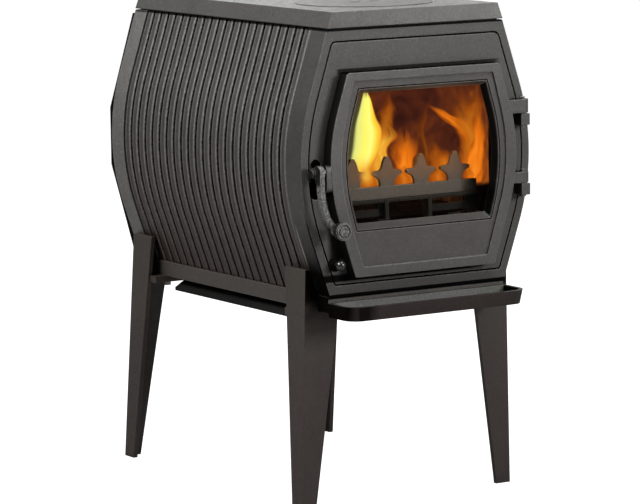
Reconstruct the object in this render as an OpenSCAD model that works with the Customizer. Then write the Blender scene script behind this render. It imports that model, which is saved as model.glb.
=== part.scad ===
// Cast-iron wood stove on four legs: ribbed side plates, glazed front door,
// ash shelf, loose hot plate, rear flue spigot and sheet-metal heat shields.
// Millimetres, +Z up. The front faces -Y. The origin lies on the floor under
// the middle of the outer box.

/* [Body] */
// Half width of the castings at their top edge
half_top = 153; // [148:1:156]
// Depth of the body from front plate face to back plate face
body_depth = 558; // [540:1:570]
// Radius of the rounded belly where the upper and lower flanks meet
belly_r = 326; // [290:1:360]
// Wall thickness of the front and back plates
plate_t = 8; // [6:1:10]
// Depth of the plain rim band behind the front face
rim_front = 42; // [36:1:48]
// Depth of the plain rim band in front of the back face
rim_back = 36; // [30:1:42]

/* [Ribs] */
// Number of vertical ribs on each side plate
rib_count = 22; // [18:1:26]
// Height of a rib above the plate
rib_h = 7; // [5:0.5:8]
// Share of the pitch that the foot of a rib takes
rib_share = 0.80; // [0.7:0.01:0.86]

/* [Door] */
// How far the door face stands in front of the front plate
door_y = 21.5; // [21:0.5:23]
// Depth of the sunk field in the door face
field_d = 3; // [2:0.5:4]
// Thickness of the glass pane
glass_t = 4; // [3:0.5:4]
// Radius of the hinge pins
pin_r = 4; // [3.5:0.5:4.5]

/* [Legs] */
// Thickness of the leg flanges
leg_t = 7; // [6:0.5:8]
// Width of the front flange at its top
leg_wf = 64; // [58:1:68]
// Width of the side flange at its top
leg_ws = 56; // [50:1:60]

/* [Top] */
// Radius of the loose hot plate
lid_r = 102; // [98:1:106]
// Distance of the hot plate's centre behind the front face
lid_y = 138; // [132:1:150]

/* [Flue] */
// Outer radius of the flue spigot
flue_r = 59; // [57:1:60]
// Height of the flue centre above the floor
flue_z = 632; // [628:1:634]
// Distance from the front face to the end of the spigot
flue_end = 620; // [610:1:625]

/* [Shelf] */
// Distance that the ash shelf reaches in front of the front face
shelf_reach = 60; // [55:1:65]

/* [Hidden] */
$fn = 64;

// heights of the body casting
z_top = 704.5;
z_bot = 317;
z_lid = 729.8;
// everything is drawn from the front face at y = 0 and then moved so that
// the outer box is centred on the origin
y_mid = -(flue_end - shelf_reach) / 2;

// flanks: upper x = kt - st z, lower x = kb + sb z, belly radius r; the
// angles are those of the flanks from the vertical
a_up = 17.9161;
a_lo = 18.8875;
b_st = tan(a_up);
b_sb = tan(a_lo);
BODY = [half_top + b_st * z_top, b_st, half_top - b_sb * z_bot, b_sb, belly_r];
DOOR = [335.7, 0.317, 11.28, 0.32, 253];
FIELD = [286.7, 0.262, -5.4, 0.317, 247];
WIND = [295.6, 0.30, 3.95, 0.27, 256];

cast = "#55524d";
cast_dk = "#3c3936";
sheet = "#1d1c1b";
steel = "#9a9a98";
brick = "#c9b48c";
rope = "#4a4744";

// ---- outline helpers -------------------------------------------------
function unit(v) = v / norm(v);
// arc that rounds the corner b between a and c
function corner(a, b, c, r, n) =
    r <= 0 ? [b] :
    let (u = unit(a - b), v = unit(c - b), g = acos(u * v), t = r / tan(g / 2),
         o = b + unit(u + v) * r / sin(g / 2), s = b + u * t - o, e = b + v * t - o,
         a0 = atan2(s[1], s[0]), d = (atan2(e[1], e[0]) - a0 + 900) % 360 - 180)
    [for (i = [0:n]) o + r * [cos(a0 + d * i / n), sin(a0 + d * i / n)]];
// six-sided outline with belly radius; p is a flank set, i an inset,
// za and zb the top and bottom heights, rt and rb the corner radii
function hexa(p, i, za, zb, rt = 0, rb = 0, n = 16) =
    let (kt = p[0] - i * sqrt(1 + p[1] * p[1]), kb = p[2] - i * sqrt(1 + p[3] * p[3]),
         zm = (kt - kb) / (p[1] + p[3]), xm = kt - p[1] * zm,
         A = [kt - p[1] * za, za], M = [xm, zm], B = [kb + p[3] * zb, zb],
         a = [-A[0], A[1]], m = [-M[0], M[1]], b = [-B[0], B[1]])
    concat(corner(a, A, M, rt, 5), corner(A, M, B, p[4] - i, n), corner(M, B, b, rb, 5),
           corner(B, b, m, rb, 5), corner(b, m, a, p[4] - i, n), corner(m, a, A, rt, 5));
// half width of the body at height z, on the straight flanks or the belly
function belly_c(p) =
    let (at = atan(p[1]), ab = atan(p[3]), zm = (p[0] - p[2]) / (p[1] + p[3]), xm = p[0] - p[1] * zm,
         q = p[4] / sin(at + ab))
    [xm - q * (sin(at) + sin(ab)), zm - q * (cos(ab) - cos(at))];
// ribbon of width w along a list of points
function ribbon(P, w) =
    let (n = len(P),
         N = [for (i = [0:n - 1]) let (d = unit(P[min(i + 1, n - 1)] - P[max(i - 1, 0)])) [-d[1], d[0]]])
    concat([for (i = [0:n - 1]) P[i] + N[i] * w / 2], [for (i = [n - 1:-1:0]) P[i] - N[i] * w / 2]);
// rounded rectangle, corner radius r
function rrect(x0, y0, x1, y1, r, n = 5) =
    concat(corner([x0, y1], [x0, y0], [x1, y0], r, n), corner([x0, y0], [x1, y0], [x1, y1], r, n),
           corner([x1, y0], [x1, y1], [x0, y1], r, n), corner([x1, y1], [x0, y1], [x0, y0], r, n));

module place() translate([0, y_mid, 0]) children();
// outline in x and z, standing between y0 and y1
module slab(P, y0, y1) translate([0, y1, 0]) rotate([90, 0, 0]) linear_extrude(y1 - y0) polygon(P);
module ring(P, Q, y0, y1) difference() { slab(P, y0, y1); slab(Q, y0 - 1, y1 + 1); }
module box(a, b) translate(a) cube(b - a);
module ycyl(x, z, r, y0, y1, f = 64) translate([x, y1, z]) rotate([90, 0, 0]) cylinder(r = r, h = y1 - y0, $fn = f);
module zcyl(x, y, r, z0, z1, f = 64) translate([x, y, z0]) cylinder(r = r, h = z1 - z0, $fn = f);
module xcyl(y, z, r, x0, x1, f = 64) translate([x0, y, z]) rotate([0, 90, 0]) cylinder(r = r, h = x1 - x0, $fn = f);
// outline in y and z, running from x0 to x1
module wall(P, x0, x1) translate([x0, 0, 0]) rotate([90, 0, 90]) linear_extrude(x1 - x0) polygon(P);
module both() { children(); mirror([1, 0, 0]) children(); }
module hexy(x, z, r, y0, y1) ycyl(x, z, r, y0, y1, 6);
module hexz(x, y, r, z0, z1) zcyl(x, y, r, z0, z1, 6);

// ---- body castings ---------------------------------------------------
rod_x = 116;
rod_hi = 672;
rod_lo = 336;
stud_x = 92;
af_x = 128;
af_z = 405;
keep_x = -175.5;
// centre of the handle's pin in y and z
piv = [-13, 501];
air = [-145.5, 365.3];
hx = 179.5;
hy = -12;
// per hinge: bottom and top of the plate's knuckle, bottom and top of the lug
hinge_z = [[547.5, 564.6, 566, 586], [443.5, 460.6, 462, 478]];

module front_plate() color(cast) place() difference() {
    union() {
        slab(hexa(BODY, 0, z_top, z_bot, 3), 0, plate_t);
        ring(hexa(BODY, 0, z_top, z_bot, 3), hexa(BODY, 9, z_top - 9, z_bot + 9), 1, rim_front);
        // hinge knuckles
        for (z = hinge_z) box([172.5, -20.5, z[0]], [187.5, 2, z[1]]);
        // bosses for the tie rods and the ears for the top studs
        both() for (z = [rod_hi, rod_lo]) ycyl(rod_x, z, 11, 4, 22);
        both() box([stud_x - 12, 6, 689], [stud_x + 12, 32, 697]);
        // housing of the latch pocket
        box([keep_x - 14, 4, 452], [keep_x + 13, 19, 526]);
        // boss for the air rod
        ycyl(air[0], air[1], 8, 4, 12);
        // bosses for the air frame screws
        both() ycyl(af_x, af_z, 7, 4, 34);
    }
    // fire door mouth
    slab(hexa(DOOR, 20, 622, 366, 10, 8), -1, 30);
    // groove that sets off the border
    ring(hexa(BODY, 12, z_top - 16.5, z_bot + 16, 11, 6), hexa(BODY, 14.6, z_top - 19.1, z_bot + 18.6, 9, 4), -1, 2.5);
    // latch pocket with round ends
    slab(rrect(keep_x - 9, 461, keep_x + 9, 519.5, 8.99, 10), -1, 15);
    for (z = hinge_z) zcyl(hx, hy, pin_r, z[0] - 1, z[1] + 1);
    both() for (z = [rod_hi, rod_lo]) ycyl(rod_x, z, 4, 10, 23);
    both() zcyl(stud_x, 21, 4.5, 688, 706);
    ycyl(air[0], air[1], 3.06, -1, 15);
    both() ycyl(af_x, af_z, 2.5, 16, 35);
}

// section of a side plate: x is the distance from the belly's centre,
// y the depth; the wall carries rounded ribs on its outer face
y_a = rim_front;
y_b = body_depth - rim_back;
pitch = (y_b - y_a) / rib_count;
wall_o = belly_r - rib_h - 1;
wall_i = wall_o - 7;
function rib(i, e) =
    let (c = y_a + (i + 0.5) * pitch, h = rib_h, w = pitch * rib_share / 2 - e, o = wall_o - e)
    [[o, c - w], [o + h * 0.55, c - w * 0.95], [o + h * 0.88, c - w * 0.85], [o + h, c - w * 0.66], [o + h * 0.97, c - w * 0.34],
     [o + h * 0.93, c], [o + h * 0.97, c + w * 0.34],
     [o + h, c + w * 0.66], [o + h * 0.88, c + w * 0.85], [o + h * 0.55, c + w * 0.95], [o, c + w]];
// e shrinks the section a little, so that the straight flanks meet the
// curved belly with a plain edge
function side_sec(e) = concat([[wall_i + e, y_a + e], [wall_o - e, y_a + e]], [for (i = [0:rib_count - 1]) each rib(i, e)],
    [[wall_o - e, y_b - e], [wall_i + e, y_b - e]]);

module side_plate() {
    o = belly_c(BODY);
    at = a_up;
    ab = a_lo;
    difference() {
        intersection() {
            box([100, 0, z_bot], [230, 600, z_top]);
            translate([o[0], 0, o[1]]) union() {
                rotate([0, -at, 0]) translate([0, 0, -0.1]) linear_extrude(130) polygon(side_sec(0.02));
                rotate([-90, 0, 0]) rotate([0, 0, -at]) rotate_extrude(angle = at + ab, $fn = 180) polygon(side_sec(0));
                rotate([0, ab, 0]) translate([0, 0, -129.9]) linear_extrude(130) polygon(side_sec(0.02));
            }
        }
        // the ribs stop short of the top plate
        difference() {
            box([100, y_a - 1, z_top - 4.5], [230, y_b + 1, z_top + 5]);
            slab(hexa(BODY, rib_h + 1, z_top + 10, z_top - 10), y_a - 2, y_b + 2);
        }
    }
}
module right_side_plate() color(cast) place() side_plate();
module left_side_plate() color(cast) place() mirror([1, 0, 0]) side_plate();

module back_plate() color(cast) place() difference() {
    union() {
        slab(hexa(BODY, 0, z_top, z_bot, 3), body_depth - plate_t, body_depth);
        ring(hexa(BODY, 0, z_top, z_bot, 3), hexa(BODY, 9, z_top - 9, z_bot + 9), body_depth - rim_back, body_depth - 1);
        both() box([stud_x - 12, body_depth - 32, 689], [stud_x + 12, body_depth - 4, 697]);
        both() for (z = [rod_hi, rod_lo]) ycyl(rod_x, z, 11, body_depth - 20, body_depth - 4);
        // bosses for the rear shield screws
        both() for (z = [560, 360]) ycyl(95, z, 9, body_depth - 16, body_depth - 4);
    }
    ycyl(0, flue_z, flue_r - 3, body_depth - 20, body_depth + 1);
    for (a = [45:90:315]) ycyl(70 * cos(a), flue_z + 70 * sin(a), 4, body_depth - 20, body_depth + 1);
    both() for (z = [rod_hi, rod_lo]) ycyl(rod_x, z, 4.5, body_depth - 22, body_depth + 1);
    both() zcyl(stud_x, body_depth - 20, 4.5, 688, 706);
    both() for (z = [560, 360]) ycyl(95, z, 3, body_depth - 14, body_depth + 1);
}

leg_bolt = [[138, 62], [138, 506]];
shield_pt = [[100, 110], [100, 440]];
module base_plate() color(cast_dk) place() difference() {
    union() {
        difference() {
            box([-154, 4, 294], [154, body_depth - 2, z_bot]);
            box([-146, 12, 293], [146, body_depth - 10, z_bot - 8]);
        }
        both() for (p = leg_bolt) zcyl(p[0], p[1], 13, 294, z_bot - 6);
        both() for (p = shield_pt) zcyl(p[0], p[1], 9, 298, z_bot - 6);
        both() zcyl(90, 26, 9, 294, z_bot - 6);
    }
    both() for (p = leg_bolt) zcyl(p[0], p[1], 5, 290, 311);
    both() for (p = shield_pt) zcyl(p[0], p[1], 3, 290, 312);
    both() zcyl(90, 26, 4, 290, 308);
}

module top_plate() color(cast) place() difference() {
    union() {
        difference() {
            intersection() {
                slab([[-152.5, 706], [152.5, 706], [144.3, z_lid], [-144.3, z_lid]], -2, body_depth + 2);
                // slight slope on the front and back edges
                rotate([90, 0, 90]) translate([0, 0, -200]) linear_extrude(400)
                    polygon([[-2, 706], [body_depth + 2, 706], [body_depth, z_lid], [-1, z_lid]]);
            }
            box([-137, 9.5, 700], [137, body_depth - 9.5, 719.5]);
        }
        zcyl(0, lid_y, lid_r + 9, 712, 725);
        both() for (y = [21, body_depth - 20]) zcyl(stud_x, y, 9, 706, 722);
        box([-6, lid_y + lid_r, 712], [6, body_depth - 4, 722]);
    }
    zcyl(0, lid_y, lid_r - 5, 700, 740, 128);
    zcyl(0, lid_y, lid_r + 0.6, 724, 740, 128);
    both() for (y = [21, body_depth - 20]) zcyl(stud_x, y, 4, 705, 719);
}
module top_gasket() color(rope) place() difference() {
    box([-144.5, 2.5, z_top], [144.5, body_depth - 2.5, 706]);
    box([-138, 9.5, z_top - 1], [138, body_depth - 9.5, 707]);
}
module top_studs() color(steel) place() both() for (y = [21, body_depth - 20]) zcyl(stud_x, y, 4, 680, 719);
module top_nuts() color(steel) place() both() for (y = [21, body_depth - 20]) difference() {
    hexz(stud_x, y, 7.5, 682.5, 689);
    zcyl(stud_x, y, 4, 680, 690);
}
module tie_rods() color(steel) place() both() for (z = [rod_hi, rod_lo]) ycyl(rod_x, z, 4, 10, body_depth + 12);
module tie_rod_nuts() color(steel) place() both() for (z = [rod_hi, rod_lo]) difference() {
    union() { hexy(rod_x, z, 7.5, body_depth + 2, body_depth + 9); ycyl(rod_x, z, 9, body_depth, body_depth + 2); }
    ycyl(rod_x, z, 4, body_depth - 1, body_depth + 13);
}

// ---- flue and shields ------------------------------------------------
module flue_collar() color(cast_dk) place() difference() {
    union() {
        intersection() {
            ycyl(0, flue_z, 80, body_depth, body_depth + 7, 96);
            box([-90, body_depth - 1, 540], [90, body_depth + 8, 703]);
        }
        ycyl(0, flue_z, flue_r, body_depth + 6, flue_end, 96);
    }
    ycyl(0, flue_z, flue_r - 5, body_depth - 1, flue_end + 1, 96);
    for (a = [45:90:315]) ycyl(70 * cos(a), flue_z + 70 * sin(a), 4, body_depth - 1, body_depth + 8);
}
module flue_screws() color(steel) place() for (a = [45:90:315]) {
    ycyl(70 * cos(a), flue_z + 70 * sin(a), 4, body_depth - 8, body_depth + 7);
    hexy(70 * cos(a), flue_z + 70 * sin(a), 7, body_depth + 7, body_depth + 12);
}
sh_y = body_depth + 26;
module rear_heat_shield() color(sheet) place() difference() {
    slab([[143, 697], [187, 551], [187, 462], [149, 322], [-149, 322], [-187, 462], [-187, 551], [-143, 697]], sh_y, sh_y + 1.5);
    ycyl(0, flue_z, flue_r + 7, sh_y - 1, sh_y + 3, 96);
    box([-flue_r - 7, sh_y - 1, flue_z], [flue_r + 7, sh_y + 3, 720]);
    both() for (z = [560, 360]) ycyl(95, z, 3.2, sh_y - 1, sh_y + 3);
    // cooling slots
    for (x = [-60:24:60]) slab(rrect(x - 4, 380, x + 4, 470, 3.9), sh_y - 1, sh_y + 3);
}
module rear_shield_spacers() color(steel) place() both() for (z = [560, 360]) difference() {
    ycyl(95, z, 8, body_depth, sh_y);
    ycyl(95, z, 3.2, body_depth - 1, sh_y + 1);
}
module rear_shield_screws() color(steel) place() both() for (z = [560, 360]) {
    ycyl(95, z, 3, body_depth - 12, sh_y + 1.5);
    ycyl(95, z, 6.5, sh_y + 1.5, sh_y + 5);
}
module bottom_heat_shield() color(sheet) place() difference() {
    // one sheet whose long sides slope down and outwards and end in a lip
    translate([0, 94, 0]) rotate([-90, 0, 0]) linear_extrude(362)
        polygon([[-150, -273.5], [-150, -278.5], [-132, -289.5], [132, -289.5], [150, -278.5], [150, -273.5],
            [148.5, -273.5], [148.5, -277.66], [131.6, -288], [-131.6, -288], [-148.5, -277.66], [-148.5, -273.5]]);
    both() for (p = shield_pt) zcyl(p[0], p[1], 3.2, 286, 291);
}
module bottom_shield_spacers() color(steel) place() both() for (p = shield_pt) difference() {
    zcyl(p[0], p[1], 7, 289.5, 298);
    zcyl(p[0], p[1], 3.2, 288, 299);
}
module bottom_shield_screws() color(steel) place() both() for (p = shield_pt) {
    zcyl(p[0], p[1], 3, 288, 310);
    zcyl(p[0], p[1], 6.5, 284.5, 288);
}

// ---- legs ------------------------------------------------------------
leg_h = 356;
// L-shaped leg with its corner line from (xt, yt) at the top to (xb, yb) on
// the floor; the flanges run inwards from that line, and above the base the
// front flange is cut to the slope of the body's flank
module leg(xt, yt, xb, yb, wfb, wsb) {
    tx = atan((xb - xt) / leg_h);
    ty = atan((yb - yt) / leg_h);
    intersection() {
        box([60, yb - 60, 0], [230, yb + 120, leg_h]);
        difference() {
            union() {
                translate([xb, 0, 0]) rotate([0, -tx, 0]) translate([-leg_t, 0, 0]) rotate([90, 0, 90])
                    linear_extrude(leg_t) polygon([[yt, leg_h + 5], [yb, -5], [yb + wsb, -5], [yt + leg_ws, leg_h + 5]]);
                translate([0, yb, 0]) rotate([ty, 0, 0]) translate([0, leg_t, 0]) rotate([90, 0, 0])
                    linear_extrude(leg_t) polygon([[xt, leg_h + 5], [xb, -5], [xb - wfb, -5], [xt - leg_wf * 0.88, 293],
                        [155.5, 293], [155.5, 318], [xt - 4, leg_h + 5]]);
                // lug that the base stands on
                box([118, yt + 2, 284], [xt - 2, yt + 62, 294]);
                // web across the foot
                linear_extrude(6) polygon([[xb - 2, yb + 1], [xb - wfb + 3, yb + 1], [xb - 2, yb + wsb - 3]]);
            }
            zcyl(leg_bolt[0][0], yt + 33, 5.5, 280, 300);
        }
    }
}
module front_right_leg() color(cast_dk) place() leg(177, 29, 185.5, 34, 24, 27);
module front_left_leg() color(cast_dk) place() mirror([1, 0, 0]) leg(177, 29, 185.5, 34, 24, 27);
module rear_right_leg() color(cast_dk) place() translate([0, 0, 0]) mirror([0, 1, 0]) leg(175, -539, 186, -563, 24, 27);
module rear_left_leg() color(cast_dk) place() mirror([1, 0, 0]) mirror([0, 1, 0]) leg(175, -539, 186, -563, 24, 27);
module leg_bolts() color(steel) place() both() for (p = leg_bolt) {
    zcyl(p[0], p[1], 5, 284, 310);
    zcyl(p[0], p[1], 10, 282, 284);
    hexz(p[0], p[1], 9, 275.5, 282);
}

// ---- ash shelf -------------------------------------------------------
module tray_blank(w, y, r, z) translate([0, 0, z]) linear_extrude(0.01) polygon(concat(
    corner([-w, 4], [-w, -y], [w, -y], r, 8), corner([-w, -y], [w, -y], [w, 4], r, 8), [[w, 4], [-w, 4]]));
module ash_shelf() color(cast_dk) place() difference() {
    union() {
        hull() { tray_blank(153, shelf_reach - 4, 22, 287.5); tray_blank(157, shelf_reach, 25, 308.49); }
        // tongue under the base
        box([-112, 0, 288], [112, 44, 294]);
    }
    difference() {
        hull() { tray_blank(150, shelf_reach - 8, 20, 296.5); tray_blank(152.5, shelf_reach - 4.5, 21, 312); }
        box([-160, -1, 290], [160, 10, 315]);
    }
    // hollow underside
    difference() {
        hull() { tray_blank(148, shelf_reach - 9, 18, 280); tray_blank(149, shelf_reach - 8, 18, 290.5); }
        box([-160, -6, 280], [160, 10, 300]);
    }
    both() zcyl(90, 26, 4.3, 280, 296);
}
module shelf_bolts() color(steel) place() both() {
    zcyl(90, 26, 4, 287.5, 307);
    hexz(90, 26, 7, 282.5, 287.5);
}

// ---- inside the firebox ----------------------------------------------
module fire_bed() color(cast_dk) place() difference() {
    union() {
        box([-160, 46, 404], [160, 520, 412]);
        both() box([126, 60, z_bot], [134, 500, 406]);
        // raised rim around the grate
        box([-90, 115, 410], [90, 335, 416]);
    }
    box([-84.8, 120.2, 406], [84.8, 329.8, 420]);
    box([-78, 127, 400], [78, 323, 420]);
}
module grate() color(cast_dk) place() difference() {
    box([-84, 121, 406], [84, 329, 415]);
    for (i = [-4:4]) for (j = [0, 1]) box([i * 17 - 4, 134 + j * 98, 400], [i * 17 + 4, 218 + j * 98, 420]);
}
module pan_rails() color(sheet) place() both() difference() {
    box([62, 60, z_bot], [92, 430, 366]);
    box([64, 59, z_bot - 1], [90, 431, 364]);
}
module ash_pan() color(sheet) place() difference() {
    box([-99, 52, 366], [99, 432, 398]);
    box([-97.5, 53.5, 367.5], [97.5, 430.5, 400]);
}
module ash_pan_handle() color(steel) place() difference() {
    union() {
        both() box([26, 44, 380], [32, 52, 386]);
        box([-32, 40, 380], [32, 45, 386]);
    }
    box([-26, 45, 379], [26, 53, 387]);
}
module side_bricks() {
    slab([[142, 412], [165, 412], [180, 505], [157, 505]], 128, 498);
    slab([[157, 505.5], [180, 505.5], [174, 559], [151, 559]], 128, 498);
}
module right_firebricks() color(brick) place() side_bricks();
module left_firebricks() color(brick) place() mirror([1, 0, 0]) side_bricks();
module rear_firebrick() color(brick) place()
    slab([[-141, 412], [141, 412], [156, 505], [150, 559], [-150, 559], [-156, 505]], 499, 520);
module baffle_plate() color(brick) place() box([-168, 190, 559.5], [168, 520, 569]);

// pointed bars that hold back the logs
function spike(x) = [for (p = [[-12, 461], [-12.3, 473], [-15, 478.5], [-20, 482], [-25.5, 484.5], [-26, 488.5], [-20, 490.5],
     [-13, 490.5], [-9.5, 494], [-7, 503], [-3, 510.5], [3, 510.5], [7, 503], [9.5, 494], [13, 490.5],
     [20, 490.5], [26, 488.5], [25.5, 484.5], [20, 482], [15, 478.5], [12.3, 473], [12, 461]]) [x + p[0], p[1]]];
module log_retainer() color(cast) place() {
    box([-128, 34.5, 449.2], [128, 43, 467]);
    for (x = [-90, -30, 30, 90]) slab(spike(x), 35, 40);
    // feet that stand on the fire bed
    both() box([118, 40.5, 412], [128, 52, 460]);
}
module air_frame() color(cast_dk) place() difference() {
    union() {
        box([-126, 34, 401], [126, 40, 449]);
        both() box([118, 34, 396], [136, 40, 414]);
        box([-41, 24, 406], [41, 36, 449]);
        box([-126, 27, 444.5], [126, 36, 449]);
    }
    // mouth of the air duct, open below
    box([-35, 20, 400], [35, 45, 445]);
    // slots beside it and the space under the lower rail
    both() box([47, 20, 434], [110, 45, 444]);
    both() box([41, 20, 395], [110, 45, 424]);
    both() ycyl(af_x, af_z, 3.2, 30, 45);
}
module air_frame_screws() color(steel) place() both() {
    ycyl(af_x, af_z, 2.5, 18, 40);
    ycyl(af_x, af_z, 5, 40, 43);
}

// ---- hardware fixed to the front plate --------------------------------
module hinge_pins() color(steel) place() for (z = hinge_z) {
    zcyl(hx, hy, pin_r, z[0] - 1, z[3] + 3.5);
    zcyl(hx, hy, pin_r + 1.4, z[0] - 2.5, z[0]);
    // shoulder that carries the lug
    zcyl(hx, hy, pin_r + 2.6, z[1], z[1] + 1.1);
}
// bar across the pocket that the handle's hook catches
module latch_keeper() color(steel) place() box([keep_x - 11, 4.8, 510.6], [keep_x + 11, 8, 518]);
module air_escutcheon() color(cast_dk) place() difference() {
    union() { ycyl(air[0], air[1], 10.5, -3, 0); ycyl(air[0], air[1], 6.5, -5.5, -2); }
    ycyl(air[0], air[1], 3.06, -8, 1);
}

// ---- door -------------------------------------------------------------
zd = [642.7, 346];
// clip places: [x, z, quarter turns]
CL = [[-62, 617, 0], [62, 617, 0], [-62, 419, 2], [62, 419, 2]];
module clip_pocket(c, g, y0, y1) translate([c[0], 0, c[1]]) rotate([0, c[2] * 90, 0])
    box([-11 - g, y0, -6 - g], [11 + g, y1, 12 + g]);
module door_frame() color(cast) place() difference() {
    union() {
        slab(hexa(DOOR, 0, zd[0], zd[1], 5, 2), -door_y, -1);
        // hinge lugs
        for (z = hinge_z) {
            box([146, -21, z[2]], [hx, -3.5, z[3]]);
            zcyl(hx, hy, 9, z[2], z[3]);
        }
        // ear with a round head that carries the handle's pin
        intersection() {
            wall(rrect(-21, 472, -5, 512, 7.9, 10), -169.4, -159);
            slab(concat([[-169.4, 471], [-159, 471]], corner([-159, 471], [-159, 512], [-169.4, 512], 6, 6),
                corner([-159, 512], [-169.4, 512], [-169.4, 471], 3.5, 4)), -22, -4);
        }
        box([-164, -19, 478], [-152, -6.5, 504]);
    }
    // sunk field
    slab(hexa(FIELD, 0, 630.5, 360, 4, 3), -door_y - 1, -door_y + field_d);
    // fine groove around the window
    ring(hexa(WIND, -3.2, 620, 411.8, 3, 3), hexa(WIND, -1.4, 618.4, 413.6, 2, 2), -door_y, -door_y + field_d + 1.6);
    // bevelled window
    hull() {
        slab(hexa(WIND, -0.5, 617.6, 414.4, 4, 4, 12), -door_y, -door_y + field_d - 0.1);
        slab(hexa(WIND, 6.5, 611.5, 423, 3, 3, 12), -9.1, -9);
    }
    // rebate for the glass
    slab(hexa(WIND, -1, 619.5, 415, 4, 4), -9, 0);
    // hollow behind the lower panel
    slab(concat(corner([-115, 402], [115, 402], [103, 368], 4, 4), corner([115, 402], [103, 368], [-103, 368], 4, 4),
                corner([103, 368], [-103, 368], [-115, 402], 4, 4), corner([-103, 368], [-115, 402], [115, 402], 4, 4)), -12, 0);
    // groove for the door rope
    ring(hexa(DOOR, 4, zd[0] - 4, zd[1] + 4), hexa(DOOR, 11.5, zd[0] - 11.5, zd[1] + 11.5), -6, 0);
    for (c = CL) clip_pocket(c, 0.5, -4, 0);
    for (c = CL) ycyl(c[0], c[1] + (c[2] == 0 ? 8 : -8), 2, -13, 0);
    for (z = hinge_z) zcyl(hx, hy, pin_r + 0.06, z[2] - 1, z[3] + 1);
    xcyl(piv[0], piv[1], 4, -172, -160);
}
module door_gasket() color(rope) place()
    ring(hexa(DOOR, 4.3, zd[0] - 4.3, zd[1] + 4.3), hexa(DOOR, 11.2, zd[0] - 11.2, zd[1] + 11.2), -6, -0.3);
module glass_gasket() color(rope) place()
    ring(hexa(WIND, -0.6, 619, 415.5, 4, 4), hexa(WIND, 6, 612.5, 422, 3, 3), -9, -4 - glass_t);
module door_glass() color([0.45, 0.32, 0.2, 0.5]) place() slab(hexa(WIND, -0.6, 619, 415.5, 4, 4), -4 - glass_t, -4);
module glass_clips() color(steel) place() for (c = CL) difference() {
    clip_pocket(c, 0, -4, -2.5);
    ycyl(c[0], c[1] + (c[2] == 0 ? 8 : -8), 2, -5, 0);
}
module glass_clip_screws() color(steel) place() for (c = CL) let (z = c[1] + (c[2] == 0 ? 8 : -8)) {
    ycyl(c[0], z, 2, -12.5, -2.5);
    ycyl(c[0], z, 3.6, -2.5, -0.9);
}

// ---- door handle ------------------------------------------------------
// bar with a hub on a level pin; a hook behind the hub swings into the pocket
// of the front plate and, with the bar pushed in, rises behind the keeper
lever_p = [[-183.9, 508], [-184.1, 494], [-183.9, 479], [-182.4, 464.5], [-179.6, 450.5], [-174.9, 437], [-167.2, 426], [-157, 419]];
knob_c = [-156, 418];
module handle_lever() color(cast_dk) place() difference() {
    union() {
        slab(ribbon(lever_p, 7.8), -32, -22.4);
        wall([[-32, 486], [-32, 504], [-30.6, 508.5], [-27.4, 511.8], [-23, 513], [-18, 512], [-10, 508], [-10, 495], [-16, 492.5], [-22.4, 486]],
            -187.8, -180);
        xcyl(piv[0], piv[1], 8, -188.6, -180);
        xcyl(piv[0], piv[1], 5.6, -181, -172.8);
        wall([[-13, 507], [-13, 495], [6, 497.5], [12.5, 500], [12.8, 508.6], [9.6, 509.6], [8.8, 505.5], [4, 504.5]], -181.5, -175.4);
        ycyl(knob_c[0], knob_c[1], 9, -32, -22.4);
    }
    xcyl(piv[0], piv[1], 4.06, -190, -172);
    ycyl(knob_c[0], knob_c[1], 3, -33, -20);
}
module handle_knob() color(cast_dk) place() difference() {
    union() {
        ycyl(knob_c[0], knob_c[1], 13.2, -43.5, -34.5);
        ycyl(knob_c[0], knob_c[1], 11.6, -45, -33);
        ycyl(knob_c[0], knob_c[1], 8, -34, -32);
    }
    difference() {
        ycyl(knob_c[0], knob_c[1], 9.8, -46, -43.6);
        ycyl(knob_c[0], knob_c[1], 7.4, -47, -40);
    }
    ycyl(knob_c[0], knob_c[1], 3, -41, -30);
}
module knob_screw() color(steel) place() {
    ycyl(knob_c[0], knob_c[1], 3, -40, -22.4);
    ycyl(knob_c[0], knob_c[1], 5.5, -22.4, -19.6);
}
module handle_pin() color(steel) place() {
    xcyl(piv[0], piv[1], 4, -192, -160.5);
    xcyl(piv[0], piv[1], 6.2, -192, -189.2);
}
module handle_washer() color(steel) place() difference() {
    xcyl(piv[0], piv[1], 5.8, -172.3, -169.4);
    xcyl(piv[0], piv[1], 4, -173, -169);
}

// ---- air control ------------------------------------------------------
module air_rod() color(steel) place() ycyl(air[0], air[1], 3, -15, 40);
module air_knob() color(cast_dk) place() difference() {
    union() {
        translate([air[0], -17.2, air[1]]) sphere(r = 7.5);
        ycyl(air[0], air[1], 4.3, -13, -7);
    }
    ycyl(air[0], air[1], 3, -15, -5);
}
module air_damper() color(steel) place() difference() {
    ycyl(air[0], air[1], 9, 35, 38);
    ycyl(air[0], air[1], 3, 30, 40);
}

// ---- hot plate ---------------------------------------------------------
module hot_plate() color(cast) place() difference() {
    union() {
        zcyl(0, lid_y, lid_r, 724.2, 731, 128);
        zcyl(0, lid_y, lid_r - 5.5, 718, 725, 128);
    }
    // hollow underside, and two slots with a bar between them for the lifter
    zcyl(0, lid_y, lid_r - 13, 716, 721, 96);
    both() translate([0, lid_y, 724.5]) linear_extrude(8) polygon(rrect(7, -5, 25, 5, 4.9));
}

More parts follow.
